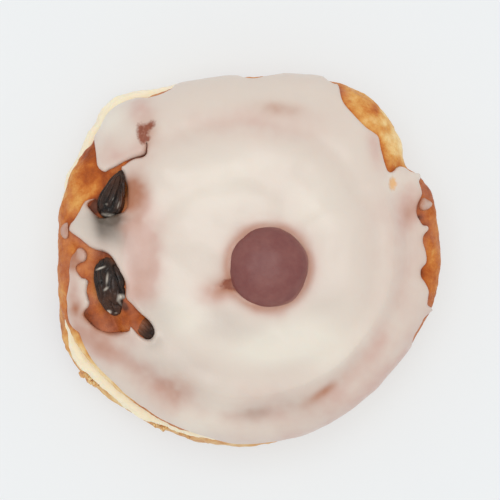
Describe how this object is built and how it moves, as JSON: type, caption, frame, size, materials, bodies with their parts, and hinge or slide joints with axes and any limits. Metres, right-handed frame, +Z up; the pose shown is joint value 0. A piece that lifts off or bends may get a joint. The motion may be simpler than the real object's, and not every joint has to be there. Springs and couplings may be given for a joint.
{
  "type": "belgian bun",
  "caption": "Round iced spiral bun, split level and filled with whipped cream, with half a cherry on top and sultanas in the bare crust.",
  "frame": {"origin": "middle of the whole bun's box, on the table it stands on", "axes": "+Z up through the cherry, +X to the right and +Y away as seen from above with the sultanas at the left"},
  "size_m": [0.1062, 0.103, 0.0525],
  "materials": {
    "base_crust": "baked bread crust, satin, paler at the cut rim",
    "cream": "whipped cream, soft and slightly moist",
    "top_crust": "baked bread crust, satin, golden to brown",
    "icing": "set sugar icing, translucent white, soft gloss",
    "cherry": "glace cherry, dark pink red, glossy",
    "raisin": "baked sultana, nearly black, wrinkled and glossy"
  },
  "bodies": {
    "root": {"bun_base": "base_crust", "cream": "cream", "bun_top": "top_crust", "icing": "icing", "cherry": "cherry", "raisin_1": "raisin", "raisin_2": "raisin", "raisin_3": "raisin"}
  },
  "joints": []
}
